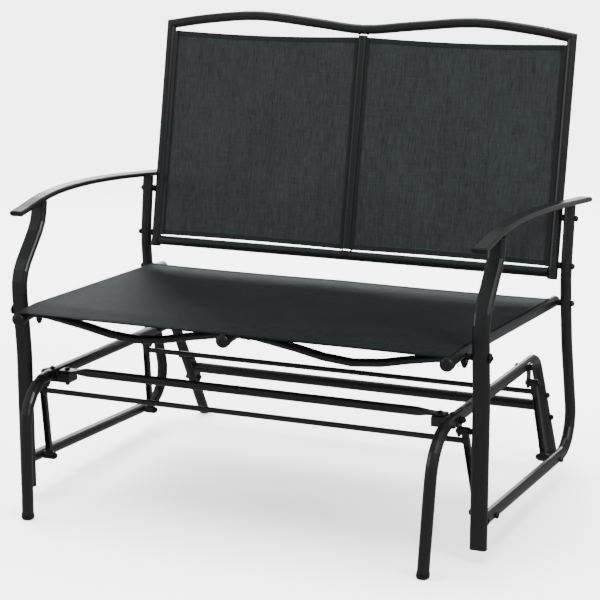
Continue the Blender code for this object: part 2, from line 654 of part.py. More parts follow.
def make_spreader(side, label, body):
    """A bowed bar whose pressed ends lie under the side rail and the centre rail."""
    inner, outer = 0.002, seat_rail_x(SPREADER_Y) + 0.010
    middle, half_length = (inner + outer) / 2, (outer - inner) / 2
    tongue_z = seat_rail_z(SPREADER_Y) - TUBE_R - PINCH_HALF_T - 3 * GAP
    spots, outlines = pinched_bar(half_length, (SPREADER_HALF_Y, SPREADER_HALF_Z), SPREADER_FLAT, SPREADER_SAG)
    path = [Vector((side * (middle + x), SPREADER_Y, tongue_z + drop)) for x, drop in spots]
    make_piece("seat_spreader_" + label, sweep(path, (0, 1, 0), lambda index: outlines[index]),
               body, BLACK_STEEL, (side * middle, SPREADER_Y, tongue_z))


# ================================================================ back
def make_back(body):
    tube = oval(BACK_R, BACK_R, ROUND_SIDES)
    corner = Vector((BACK_X, back_y(ARCH_HALF[-1][1]), ARCH_HALF[-1][1]))
    up = Vector((0, BACK_LEAN, 1)).normalized()
    arch = arch_path()
    inward = (arch[-2] - arch[-1]).normalized()
    mitre = (inward + up).normalized()
    for label, side in SIDES:
        normal = (side * mitre.x, mitre.y, mitre.z)
        point = (side * corner.x, corner.y, corner.z - GAP)
        low = Vector((side * BACK_X, back_y(BACK_BOTTOM_Z - BACK_R), BACK_BOTTOM_Z - BACK_R))
        path = [low, Vector((side * corner.x, corner.y, corner.z))]
        upright = make_piece("back_upright_" + label, sweep(path, (1, 0, 0), tube, None, (point, normal)),
                             body, BLACK_STEEL, low)
        for z in BACK_BOLT_Z:
            y = (side_tube_y(z) + back_y(z)) / 2
            drill(upright, body, (side * (BACK_X + BACK_R), y, z), BOLT_R + BOLT_CLEAR, BACK_R + BLIND_DEPTH)
    planes = [((side * corner.x, corner.y, corner.z + GAP), (side * mitre.x, mitre.y, mitre.z)) for _, side in SIDES]
    out_of_plane = (0, 1, -BACK_LEAN)
    make_piece("back_top_rail", sweep(arch, out_of_plane, tube, planes[0], planes[1]), body, BLACK_STEEL,
               (0, back_y(ARCH_HALF[0][1]), ARCH_HALF[0][1]))
    half_span = BACK_X - BACK_R - GAP
    centre = (0, back_y(BACK_BOTTOM_Z), BACK_BOTTOM_Z)
    make_piece("back_bottom_rail", turned(centre, ((-half_span, BACK_R), (half_span, BACK_R)), ROUND_SIDES),
               body, BLACK_STEEL, centre)
    low_z = BACK_BOTTOM_Z + BACK_R + 0.003
    high_z = arch_z(0) - BACK_R - 0.003
    path = [Vector((0, back_y(z), z)) for z in (low_z, high_z)]
    make_piece("back_centre_upright", sweep(path, (1, 0, 0), tube), body, BLACK_STEEL, path[0])
    for label, side in SIDES:
        make_back_sling(side, label, body)


def make_back_sling(side, label, body):
    clear = 0.0006
    inner, outer = BACK_R + clear, BACK_X - BACK_R - clear
    low_z, high_z = BACK_BOTTOM_Z + BACK_R + 0.001, BACK_SLING_TOP_Z
    middle = side * (inner + outer) / 2
    path = [Vector((middle, back_y(z), z)) for z in (low_z, high_z)]
    make_piece("back_sling_" + label, sweep(path, (1, 0, 0), rectangle((outer - inner) / 2, SLING_T / 2)),
               body, BACK_FABRIC, path[0])


def main():
    clear_scene()
    (_, y, z, low_y, low_z), (_, rear_y, rear_z, rear_low_y, rear_low_z) = pivots()
    base = make_empty("base_origin", (0, 0, 0))
    front_hanger = make_empty("front_hanger_axis", (0, y, z))
    rear_hanger = make_empty("rear_hanger_axis", (0, rear_y, rear_z))
    swing = make_empty("swing_axis", (0, low_y, low_z))
    make_base(base)
    make_hanger("front_hanger", front_hanger, (y, z), (low_y, low_z))
    make_hanger("rear_hanger", rear_hanger, (rear_y, rear_z), (rear_low_y, rear_low_z))
    for label, side in SIDES:
        make_swing_side(side, label, swing)
    make_seat(swing)
    make_back(swing)


main()
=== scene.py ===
"""Looks of a two-seat glider bench: powder-coated tube, woven slings, fittings, and a pale studio.

X runs across the bench, -Y is the front, +Z is up and the floor is Z = 0. Sizes are in metres.
"""

import json
import math

import bmesh
import bpy
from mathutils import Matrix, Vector


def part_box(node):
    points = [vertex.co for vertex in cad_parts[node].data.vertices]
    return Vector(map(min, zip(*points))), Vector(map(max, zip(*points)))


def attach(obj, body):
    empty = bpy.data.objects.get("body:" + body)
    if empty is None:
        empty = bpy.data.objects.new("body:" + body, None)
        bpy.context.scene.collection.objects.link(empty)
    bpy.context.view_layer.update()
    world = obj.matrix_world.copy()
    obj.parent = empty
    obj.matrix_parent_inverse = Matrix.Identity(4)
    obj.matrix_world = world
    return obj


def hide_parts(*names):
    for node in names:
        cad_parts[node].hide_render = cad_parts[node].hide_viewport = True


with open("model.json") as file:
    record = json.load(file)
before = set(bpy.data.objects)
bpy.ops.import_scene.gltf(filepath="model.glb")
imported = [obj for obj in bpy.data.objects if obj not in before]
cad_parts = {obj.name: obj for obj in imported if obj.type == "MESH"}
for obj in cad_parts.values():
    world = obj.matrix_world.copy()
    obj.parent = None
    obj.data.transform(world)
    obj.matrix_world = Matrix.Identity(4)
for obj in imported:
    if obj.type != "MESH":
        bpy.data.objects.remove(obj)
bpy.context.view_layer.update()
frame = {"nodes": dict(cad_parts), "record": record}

# ---------------------------------------------------------------- sizes shared with the frame
TUBE_R = 0.0125
BACK_R = 0.011
CROSSBAR_R = 0.0095
ROD_R = 0.006
SWING_X = 0.520
BASE_X = 0.453
POST_X = 0.515
SEAT_RAIL_X = (0.4725, 0.489)    # side rail at its front tip and its rear end
BACK_X = 0.491
BACK_LOW = (0.2645, 0.491)
BACK_LEAN = 0.20
BACK_BOTTOM_Z = 0.474
BACK_TOP_Z = 0.9835            # top rail over the centre upright
SEAT_RAIL_PATH = ((0.290, 0.4042), (-0.329, 0.4285), (-0.404, 0.4232))
SEAT_RAIL_BEND = 0.10
SEAT_REAR_TUBE_Y = 0.246
BASE_TOP_RUN = ((-0.416, 0.2865), (0.272, 0.2740))
REAR_LEG = ((0.272, 0.2740), (0.4398, 0.0))
REAR_BAR_Z = 0.141             # rear crossbar's pressed end on the rear leg
PIVOTS = ((-0.304, 0.2645), (0.1745, 0.2425))
CROSSBAR_Y = -0.292
SPREADER_Y = -0.312
ARM_FRONT = (Vector((0.511, -0.336, 0.6340)), Vector((0.515, -0.174, 0.6565)), Vector((0.520, 0.056, 0.6505)))
ARM_REAR = (Vector((0.521, 0.406, 0.6180)), Vector((0.520, 0.056, 0.6505)), Vector((0.515, -0.174, 0.6565)))
ARM_HALF_X = 0.0165
ARM_HALF_Z = 0.0060
POST_BOTTOM_Z = 0.030
POST_BOTTOM_Y = -0.315
LOW_RUN_Z = 0.0852             # side tube where the front post meets it
POST_HALF_X = 0.018
POST_HALF_Y = 0.009
BRACKET_OUTER_X = BASE_X + TUBE_R + 0.0035
SIDES = (("left", -1), ("right", 1))

# ---------------------------------------------------------------- cloth
CLOTH_T = 0.0013
HEM_T = 0.0024
HEM_WIDTH = 0.0125
BACK_CLOTH_X = (0.0135, 0.4765)
BACK_CLOTH_Z = (0.4872, 0.9660)
SEAT_CLOTH_LAP = 0.0040      # cloth past the side rails' centre lines
SEAT_CLOTH_Y = (0.232, -0.4060)
STITCH_PITCH = 0.0034
STITCH_LENGTH = 0.0026
STITCH_WIDTH = 0.0008


def back_y(z):
    return BACK_LOW[0] + (z - BACK_LOW[1]) * BACK_LEAN


def seat_rail_z(y):
    (y0, z0), (y1, z1) = SEAT_RAIL_PATH[:2]
    return z0 + (y - y0) * (z1 - z0) / (y1 - y0)


def seat_rail_x(y):
    front, rear = SEAT_RAIL_PATH[-1][0], SEAT_RAIL_PATH[0][0]
    return SEAT_RAIL_X[0] + (SEAT_RAIL_X[1] - SEAT_RAIL_X[0]) * (y - front) / (rear - front)


def top_run_z(y):
    (y0, z0), (y1, z1) = BASE_TOP_RUN
    return z0 + (y - y0) * (z1 - z0) / (y1 - y0)


# ================================================================ shader writing
class Value:
    """A socket of a material's node tree that can be used in sums."""

    def __init__(self, finish, socket):
        self.finish = finish
        self.socket = socket

    def math(self, operation, *others):
        values = dict(enumerate((self, *others)))
        return self.finish.node("ShaderNodeMath", values, operation=operation)

    def __add__(self, other):
        return self.math("ADD", other)

    __radd__ = __add__

    def __mul__(self, other):
        return self.math("MULTIPLY", other)

    __rmul__ = __mul__

    def __sub__(self, other):
        return self.math("SUBTRACT", other)

    def __rsub__(self, other):
        return self.finish.node("ShaderNodeMath", {0: other, 1: self}, operation="SUBTRACT")

    def __pow__(self, other):
        return self.math("POWER", other)

    def sine(self):
        return self.math("SINE")

    def above(self, edge, softness):
        """0 below the edge and 1 above it, with a soft step between."""
        return self.finish.node("ShaderNodeMapRange", {"Value": self, "From Min": edge - softness,
                                                       "From Max": edge + softness},
                                interpolation_type="SMOOTHSTEP")


class Finish:
    """A material, and the one way in which its nodes are made."""

    def __init__(self, name, **constants):
        self.material = bpy.data.materials.new(name)
        self.material.use_nodes = True
        self.tree = self.material.node_tree
        self.shader = self.tree.nodes["Principled BSDF"]
        for socket, value in constants.items():
            self.shader.inputs[socket.replace("_", " ")].default_value = value

    def node(self, kind, values=None, output=0, stops=None, **settings):
        made = self.tree.nodes.new(kind)
        for key, setting in settings.items():
            setattr(made, key, setting)
        if stops:
            ramp = made.color_ramp
            while len(ramp.elements) < len(stops):
                ramp.elements.new(1.0)
            for element, (place, colour) in zip(ramp.elements, stops):
                element.position = place
                element.color = (*colour, 1.0)
        for key, value in (values or {}).items():
            socket = made.inputs[key] if isinstance(key, int) else next(
                item for item in made.inputs if item.name == key and item.enabled)
            if isinstance(value, Value):
                self.tree.links.new(value.socket, socket)
            else:
                socket.default_value = value
        outputs = [item for item in made.outputs if item.enabled]
        return Value(self, outputs[output])

    def place(self):
        """The point on the piece, in metres."""
        return self.node("ShaderNodeTexCoord", output=3)

    def noise(self, where, scale, detail=2.0, roughness=0.5, stretch=(1, 1, 1), shift=(0, 0, 0)):
        moved = self.node("ShaderNodeMapping", {"Vector": where, "Location": shift, "Scale": stretch})
        return self.node("ShaderNodeTexNoise", {"Vector": moved, "Scale": scale, "Detail": detail,
                                                "Roughness": roughness})

    def blend(self, share, low, high):
        """A colour between low and high."""
        values = {"Factor": share, "A": low if isinstance(low, Value) else (*low, 1.0),
                  "B": high if isinstance(high, Value) else (*high, 1.0)}
        return self.node("ShaderNodeMix", values, data_type="RGBA")

    def set(self, socket, value):
        self.tree.links.new(value.socket, self.shader.inputs[socket])

    def bump(self, height, distance, strength=1.0, onto=None):
        values = {"Height": height, "Distance": distance, "Strength": strength}
        if onto is not None:
            values["Normal"] = onto
        return self.node("ShaderNodeBump", values)


def powder_coat(name, colour, scuff_share):
    """Baked powder paint: fine orange peel, faint clouds of tone, and a few dull rubbed marks."""
    finish = Finish(name, Specular_IOR_Level=0.5)
    where = finish.place()
    peel = finish.noise(where, 620.0, 2.0)
    swell = finish.noise(where, 95.0, 3.0)
    clouds = finish.noise(where, 9.0, 4.0, 0.6)
    rubbed = finish.noise(where, 38.0, 6.0, 0.68, (1.0, 0.35, 1.0)).above(0.66, 0.045) * scuff_share
    tone = finish.blend(clouds, tuple(0.86 * part for part in colour), tuple(1.16 * part for part in colour))
    worn = finish.blend(rubbed * 0.5, tone, tuple(part + 0.034 for part in colour))
    finish.set("Base Color", worn)
    finish.set("Roughness", 0.25 + clouds * 0.09 + peel * 0.04 + rubbed * 0.16)
    finish.set("Normal", finish.bump(peel * 0.7 + swell * 0.9, 0.00009))
    return finish.material


def fastener_metal():
    """Black-plated steel with fine turning marks and rubbed spots."""
    finish = Finish("fastener_black_plate", Metallic=0.35, Specular_IOR_Level=0.6)
    where = finish.place()
    grain = finish.noise(where, 900.0, 3.0, 0.6, (3.0, 1.0, 1.0))
    spots = finish.noise(where, 210.0, 4.0, 0.6).above(0.60, 0.06)
    finish.set("Base Color", finish.blend(spots * 0.45, (0.012, 0.012, 0.013), (0.046, 0.046, 0.048)))
    finish.set("Roughness", 0.22 + grain * 0.14 + spots * 0.08)
    finish.set("Normal", finish.bump(grain, 0.00004))
    return finish.material


def moulded_plastic(name, colour, roughness):
    """Injection-moulded plastic with a spark-eroded grain."""
    finish = Finish(name, Specular_IOR_Level=0.42)
    where = finish.place()
    grain = finish.noise(where, 1400.0, 1.5)
    flow = finish.noise(where, 24.0, 3.0)
    finish.set("Base Color", finish.blend(flow, tuple(0.8 * part for part in colour),
                                          tuple(1.3 * part for part in colour)))
    finish.set("Roughness", roughness + grain * 0.10 + flow * 0.07)
    finish.set("Normal", finish.bump(grain, 0.00006))
    return finish.material


def sling_cloth(name, colour, streak_along, gloss, weave_pitch=0.0021):
    """Coated mesh cloth: pairs of yarns over and under, slubby streaks, and darker doubled hems.

    The map named cloth holds metres across (u) and along (v); streak_along is the axis of the streaks.
    """
    finish = Finish(name, Specular_IOR_Level=gloss)
    flat = finish.node("ShaderNodeUVMap", uv_map="cloth")
    split = {axis: finish.node("ShaderNodeSeparateXYZ", {"Vector": flat}, output=index)
             for index, axis in enumerate("uv")}
    turn = 2 * math.pi / weave_pitch
    over = (split["u"] * turn).sine() * (split["v"] * turn).sine()
    yarn = 0.5 + over * 0.5

    def streaks(width, length, detail, shift, crossing=False):
        stretch = (1 / width, 1 / length, 1.0)
        if (streak_along == "v") == crossing:
            stretch = (1 / length, 1 / width, 1.0)
        return finish.noise(flat, 1.0, detail, 0.62, stretch, shift)

    slub = streaks(0.0032, 0.046, 3.0, (0.0, 0.0, 0.0)) - 0.5
    knots = streaks(0.0046, 0.020, 2.0, (5.3, 1.7, 0.0)).above(0.62, 0.07)
    thin = streaks(0.0038, 0.024, 2.0, (2.9, 7.7, 0.0)).above(0.61, 0.06)
    crossing = streaks(0.0040, 0.050, 2.0, (8.1, 3.3, 0.0), True) - 0.5
    bands = streaks(0.017, 0.42, 3.0, (3.7, 1.1, 0.0)) - 0.5
    clouds = finish.noise(flat, 6.0, 3.0, 0.55) - 0.5
    light = 0.42 + slub * 1.10 + knots * 0.20 - thin * 0.20 + crossing * 0.45 + bands * 0.40 + clouds * 0.35
    hem = finish.node("ShaderNodeAttribute", attribute_name="hem", output=2)
    field = finish.blend(light, tuple(0.42 * part for part in colour), tuple(1.80 * part for part in colour))
    yarned = finish.blend(yarn * 0.20, field, tuple(0.30 * part for part in colour))
    hemmed = finish.blend(hem * 0.66, yarned, tuple(0.24 * part for part in colour))
    finish.set("Base Color", hemmed)
    finish.set("Roughness", 0.58 + slub * 0.30 + yarn * 0.08)
    finish.set("Normal", finish.bump(over * 0.5 + slub * 0.6 + knots * 0.3, 0.00020, 0.7))
    return finish.material


def thread_cord():
    finish = Finish("thread_black", Sheen_Weight=0.1)
    where = finish.place()
    twist = finish.noise(where, 1500.0, 2.0)
    finish.set("Base Color", finish.blend(twist, (0.010, 0.011, 0.012), (0.045, 0.048, 0.050)))
    finish.set("Roughness", 0.60 + twist * 0.2)
    finish.set("Normal", finish.bump(twist, 0.0001))
    return finish.material


STEEL = powder_coat("powder_coat_black", (0.0195, 0.0205, 0.0215), 0.5)
STEEL_BASE = powder_coat("powder_coat_black_base", (0.0185, 0.0190, 0.0200), 0.9)
WELD = powder_coat("powder_coat_weld", (0.0175, 0.0180, 0.0190), 1.0)
FASTENER = fastener_metal()
FOOT_PLASTIC = moulded_plastic("foot_plastic", (0.0125, 0.0125, 0.0135), 0.44)
PLUG_PLASTIC = moulded_plastic("plug_plastic", (0.0150, 0.0155, 0.0165), 0.34)
# The seat cloth's colour is about half the back cloth's. The seat is darkened to offset the light that falls
# on it from above, and the back is lightened, so the gap between the two is painted shade and painted light.
BACK_CLOTH = sling_cloth("back_cloth", (0.062, 0.071, 0.077), "v", 0.34)
SEAT_CLOTH_PAINTED_SHADE = sling_cloth("seat_cloth", (0.030, 0.0355, 0.0390), "u", 0.07)
THREAD = thread_cord()


# ================================================================ mesh writing
def make_piece(name, verts, faces, material, body, sharp=35.0, hem=None, cloth=None):
    """A piece from raw points and faces, with its normals outwards, riding on a body."""
    mesh = bpy.data.meshes.new(name)
    mesh.from_pydata([tuple(vert) for vert in verts], [], faces)
    if cloth is not None:
        layer = mesh.uv_layers.new(name="cloth")
        for loop in mesh.loops:
            layer.data[loop.index].uv = cloth[loop.vertex_index]
    if hem is not None:
        attribute = mesh.attributes.new("hem", "FLOAT", "POINT")
        attribute.data.foreach_set("value", hem)
    work = bmesh.new()
    work.from_mesh(mesh)
    bmesh.ops.recalc_face_normals(work, faces=work.faces[:])
    work.to_mesh(mesh)
    work.free()
    mesh.materials.append(material)
    mesh.shade_smooth()
    mesh.set_sharp_from_angle(angle=math.radians(sharp))
    piece = bpy.data.objects.new(name, mesh)
    bpy.context.scene.collection.objects.link(piece)
    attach(piece, body)
    return piece


def frame_of(axis):
    """Two directions square to an axis."""
    axis = Vector(axis).normalized()
    helper = Vector((0, 0, 1)) if abs(axis.z) < 0.9 else Vector((0, 1, 0))
    first = helper.cross(axis).normalized()
    return axis, first, axis.cross(first)


def turned_parts(spots, sides=28):
    """Points and faces of several turned or six-sided shapes.

    Each spot is (place, axis, rings), and a ring is (distance along the axis, radius, corners),
    where corners is 0 for a round ring and 6 for a hexagonal one.
    """
    verts, faces = [], []
    for place, axis, rings in spots:
        axis, first, second = frame_of(axis)
        start = len(verts)
        for along, radius, corners in rings:
            for index in range(sides):
                angle = 2 * math.pi * index / sides
                reach = radius
                if corners:
                    part = 2 * math.pi / corners
                    reach = radius * math.cos(part / 2) / math.cos((angle % part) - part / 2)
                verts.append(Vector(place) + axis * along + first * (reach * math.cos(angle))
                             + second * (reach * math.sin(angle)))
        for row in range(len(rings) - 1):
            for index in range(sides):
                following = (index + 1) % sides
                low = start + row * sides
                faces.append((low + index, low + following, low + sides + following, low + sides + index))
        faces.append(tuple(start + index for index in range(sides)))
        last = start + (len(rings) - 1) * sides
        faces.append(tuple(last + index for index in reversed(range(sides))))
    return verts, faces


def swept(path, section, across):
    """Points and faces of a closed section carried along a path. Section u runs along across."""
    verts, faces = [], []
    across = Vector(across).normalized()
    for index, point in enumerate(path):
        tangent = (path[min(index + 1, len(path) - 1)] - path[max(index - 1, 0)]).normalized()
        normal = tangent.cross(across).normalized()
        verts += [point + across * u + normal * v for u, v in section]
    count = len(section)
    for row in range(len(path) - 1):
        for index in range(count):
            following = (index + 1) % count
            low = row * count
            faces.append((low + index, low + following, low + count + following, low + count + index))
    faces.append(tuple(range(count)))
    faces.append(tuple(reversed(range((len(path) - 1) * count, len(path) * count))))
    return verts, faces


def rounded_line(corners, radius, steps):
    """A line of (y, z) points with its one inner corner rounded."""
    before, corner, after = (Vector(point) for point in corners)
    incoming, outgoing = (corner - before).normalized(), (after - corner).normalized()
    turn = incoming.angle(outgoing)
    reach = radius * math.tan(turn / 2)
    start = corner - incoming * reach
    inward = (outgoing - incoming * incoming.dot(outgoing)).normalized()
    centre = start + inward * radius
    angles = [turn * i / steps for i in range(steps + 1)]
    arc = [centre + incoming * radius * math.sin(angle) - inward * radius * math.cos(angle)
           for angle in angles]
    return [before, *arc, after]


def finer(line, step):
    """The same line with points no further apart than step."""
    made = [line[0]]
    for low, high in zip(line, line[1:]):
        parts = max(1, math.ceil((high - low).length / step))
        made += [low.lerp(high, i / parts) for i in range(1, parts + 1)]
    return made


def oval(half_u, half_v, corner, count=8):
    """A rectangle's outline with its four corners rounded."""
    outline = []
    for quarter, (su, sv) in enumerate(((1, 1), (-1, 1), (-1, -1), (1, -1))):
        for index in range(count + 1):
            angle = math.pi / 2 * (quarter + index / count)
            outline.append((su * (half_u - corner) + corner * math.cos(angle),
                            sv * (half_v - corner) + corner * math.sin(angle)))
    return outline


# ================================================================ repeats made by geometry nodes
class Growth:
    """A geometry node tree with named inputs, and the one way in which its nodes are made."""

    def __init__(self, name, inputs):
        self.tree = bpy.data.node_groups.new(name, "GeometryNodeTree")
        face = self.tree.interface
        face.new_socket("Geometry", in_out="INPUT", socket_type="NodeSocketGeometry")
        for label, (kind, value) in inputs.items():
            socket = face.new_socket(label, in_out="INPUT", socket_type=kind)
            if value is not None:
                socket.default_value = value
        face.new_socket("Geometry", in_out="OUTPUT", socket_type="NodeSocketGeometry")
        self.entry = self.tree.nodes.new("NodeGroupInput")
        self.exit = self.tree.nodes.new("NodeGroupOutput")

    def given(self, label):
        return self.entry.outputs[label]

    def node(self, kind, values=None, output=0, **settings):
        made = self.tree.nodes.new(kind)
        for key, setting in settings.items():
            setattr(made, key, setting)
        for key, value in (values or {}).items():
            socket = next(item for item in made.inputs if item.name == key and item.enabled)
            if isinstance(value, bpy.types.NodeSocket):
                self.tree.links.new(value, socket)
            else:
                socket.default_value = value
        return [item for item in made.outputs if item.enabled][output]

    def end(self, geometry):
        self.tree.links.new(geometry, self.exit.inputs[0])
        return self.tree

    def identifier(self, label):
        return next(item.identifier for item in self.tree.interface.items_tree
                    if item.name == label and item.in_out == "INPUT")


def beads_along_lines():
    """Small rounded beads along every line of a mesh: a stitch row or a weld's ripples."""
    growth = Growth("beads_along_lines", {
        "Spacing": ("NodeSocketFloat", 0.003), "Length": ("NodeSocketFloat", 0.002),
        "Width": ("NodeSocketFloat", 0.001), "Height": ("NodeSocketFloat", 0.001),
        "Unevenness": ("NodeSocketFloat", 0.1), "Seed": ("NodeSocketInt", 7),
        "Bead material": ("NodeSocketMaterial", None)})
    lines = growth.node("GeometryNodeMeshToCurve", {"Mesh": growth.given("Geometry")})
    spots = growth.node("GeometryNodeResampleCurve", {"Curve": lines, "Length": growth.given("Spacing")},
                        mode="LENGTH")
    bead = growth.node("GeometryNodeMeshUVSphere", {"Segments": 8, "Rings": 5, "Radius": 0.5})
    tangent = growth.node("GeometryNodeInputTangent")
    turn = growth.node("FunctionNodeAlignRotationToVector", {"Vector": tangent}, axis="X")
    size = growth.node("ShaderNodeCombineXYZ", {"X": growth.given("Length"), "Y": growth.given("Width"),
                                                "Z": growth.given("Height")})
    less = growth.node("ShaderNodeMath", {"Value": 1.0}, operation="SUBTRACT")
    growth.tree.links.new(growth.given("Unevenness"), less.node.inputs[1])
    wobble = growth.node("FunctionNodeRandomValue", {"Min": less, "Max": 1.0, "Seed": growth.given("Seed")},
                         data_type="FLOAT")
    scaled = growth.node("ShaderNodeVectorMath", {"Vector": size, "Scale": wobble}, operation="SCALE")
    beads = growth.node("GeometryNodeInstanceOnPoints", {"Points": spots, "Instance": bead, "Rotation": turn,
                                                         "Scale": scaled})
    solid = growth.node("GeometryNodeRealizeInstances", {"Geometry": beads})
    smooth = growth.node("GeometryNodeSetShadeSmooth", {"Geometry": solid})
    growth.end(growth.node("GeometryNodeSetMaterial", {"Geometry": smooth,
                                                       "Material": growth.given("Bead material")}))
    return growth


BEADS = beads_along_lines()


def bead_rows(name, lines, body, material, spacing, length, width, height, unevenness, seed):
    """A mesh of beads along lines, each (points, closed), made by the tree above."""
    verts, edges = [], []
    for points, closed in lines:
        start = len(verts)
        verts += [tuple(point) for point in points]
        edges += [(start + i, start + i + 1) for i in range(len(points) - 1)]
        if closed:
            edges.append((start + len(points) - 1, start))
    mesh = bpy.data.meshes.new(name + "_lines")
    mesh.from_pydata(verts, edges, [])
    drawn = bpy.data.objects.new(name + "_lines", mesh)
    bpy.context.scene.collection.objects.link(drawn)
    modifier = drawn.modifiers.new("beads", "NODES")
    modifier.node_group = BEADS.tree
    for label, value in (("Spacing", spacing), ("Length", length), ("Width", width), ("Height", height),
                         ("Unevenness", unevenness), ("Seed", seed), ("Bead material", material)):
        modifier[BEADS.identifier(label)] = value
    bpy.context.view_layer.update()
    graph = bpy.context.evaluated_depsgraph_get()
    grown = bpy.data.meshes.new_from_object(drawn.evaluated_get(graph))
    drawn.modifiers.remove(modifier)
    bpy.data.objects.remove(drawn, do_unlink=True)
    grown.name = name
    piece = bpy.data.objects.new(name, grown)
    bpy.context.scene.collection.objects.link(piece)
    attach(piece, body)
    return piece


def saddle(end, axis, radius, other_point, other_axis, other_radius, count=28):
    """The closed line where a round tube meets another, found by sliding its outline along its axis."""
    axis, first, second = frame_of(axis)
    other_axis = Vector(other_axis).normalized()
    other_point = Vector(other_point)
    line = []
    for index in range(count):
        angle = 2 * math.pi * index / count
        point = Vector(end) + first * (radius * math.cos(angle)) + second * (radius * math.sin(angle))
        apart = point - other_point
        apart -= other_axis * apart.dot(other_axis)
        run = axis - other_axis * axis.dot(other_axis)
        a, b, c = run.dot(run), 2 * apart.dot(run), apart.dot(apart) - other_radius ** 2
        root = b * b - 4 * a * c
        if root <= 0:
            reach = -b / (2 * a)
        else:
            reach = min(((-b + s * math.sqrt(root)) / (2 * a) for s in (-1, 1)), key=abs)
        line.append(point + axis * reach)
    return line, True


# ================================================================ slings
def cloth_piece(name, columns, rows, place, material, body="swing"):
    """A closed sheet of cloth: place(u, v, offset) gives a point, and the two ends of v are hemmed.

    columns and rows list the u and v of the grid in metres.
    """
    verts, uvs, hems = [], [], []
    last = rows[-1]
    for side in (1, -1):
        for v in rows:
            edge = min(v, last - v)
            share = min(1.0, max(0.0, (HEM_WIDTH + 0.0006 - edge) / 0.0012))
            share = share * share * (3 - 2 * share)
            rim = min(1.0, edge / 0.0010)
            half = (CLOTH_T + (HEM_T - CLOTH_T) * share) / 2 * (0.45 + 0.55 * math.sqrt(rim))
            for u in columns:
                verts.append(place(u, v, side * half))
                uvs.append((u, v))
                hems.append(share)
    across, along = len(columns), len(rows)
    faces = []

    def spot(layer, row, column):
        return layer * across * along + row * across + column

    for row in range(along - 1):
        for column in range(across - 1):
            faces.append((spot(0, row, column), spot(0, row, column + 1),
                          spot(0, row + 1, column + 1), spot(0, row + 1, column)))
            faces.append((spot(1, row, column), spot(1, row + 1, column),
                          spot(1, row + 1, column + 1), spot(1, row, column + 1)))
    for row in range(along - 1):
        for column in (0, across - 1):
            faces.append((spot(0, row, column), spot(0, row + 1, column),
                          spot(1, row + 1, column), spot(1, row, column)))
    for column in range(across - 1):
        for row in (0, along - 1):
            faces.append((spot(0, row, column), spot(0, row, column + 1),
                          spot(1, row, column + 1), spot(1, row, column)))
    return make_piece(name, verts, faces, material, body, 60.0, hems, uvs)


def hem_rows(total, step):
    """Places along the cloth, closer together over the two hems."""
    fine = [0.0, 0.0004, 0.0010, 0.0030, 0.0060, HEM_WIDTH - 0.0010, HEM_WIDTH - 0.0004, HEM_WIDTH,
            HEM_WIDTH + 0.0006, HEM_WIDTH + 0.0014]
    start, end = fine[-1], total - fine[-1]
    count = max(2, round((end - start) / step))
    middle = [start + (end - start) * i / count for i in range(1, count)]
    return fine + middle + [total - v for v in reversed(fine)]


def hem_stitches(name, place, width, length, inset, parts, seed):
    """Two rows of stitches on both faces of both hems, from inset to inset across the cloth."""
    lines = []
    for row in (HEM_WIDTH - 0.0032, HEM_WIDTH - 0.0014):
        for v in (row, length - row):
            for face in (1, -1):
                us = [inset + (width - 2 * inset) * i / parts for i in range(parts + 1)]
                lines.append(([place(u, v, face * HEM_T * 0.52) for u in us], False))
    return bead_rows(name, lines, "swing", THREAD, STITCH_PITCH, STITCH_LENGTH, STITCH_WIDTH,
                     STITCH_WIDTH, 0.18, seed)


def back_sling(label, side):
    """One back panel, stretched between two uprights, its free edges drawn in and its middle eased back."""
    inner, outer = BACK_CLOTH_X
    low_z, high_z = BACK_CLOTH_Z
    slope = math.hypot(1, BACK_LEAN)
    width, height = outer - inner, (high_z - low_z) * slope
    square = Vector((0, -1, BACK_LEAN)).normalized()

    def place(u, v, offset):
        across, along = u / width, v / height
        bow = math.sin(math.pi * across)
        eased = v + 0.0052 * bow * (0.35 * (1 - along) ** 6 - along ** 6)
        z = low_z + eased / slope
        ripple = 0.0004 * math.sin(23.0 * across) * along
        dish = 0.0055 * bow * math.sin(math.pi * (0.06 + 0.88 * along)) - ripple
        spot = Vector((side * (inner + u), back_y(z), z))
        return spot + square * (offset - dish)

    columns = [width * i / 46 for i in range(47)]
    rows = hem_rows(height, 0.011)
    panel = cloth_piece("back_cloth_" + label, columns, rows, place, BACK_CLOTH)
    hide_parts("back_sling_" + label)
    stitches = hem_stitches("back_stitches_" + label, place, width, height, 0.003, 60,
                            11 + side)


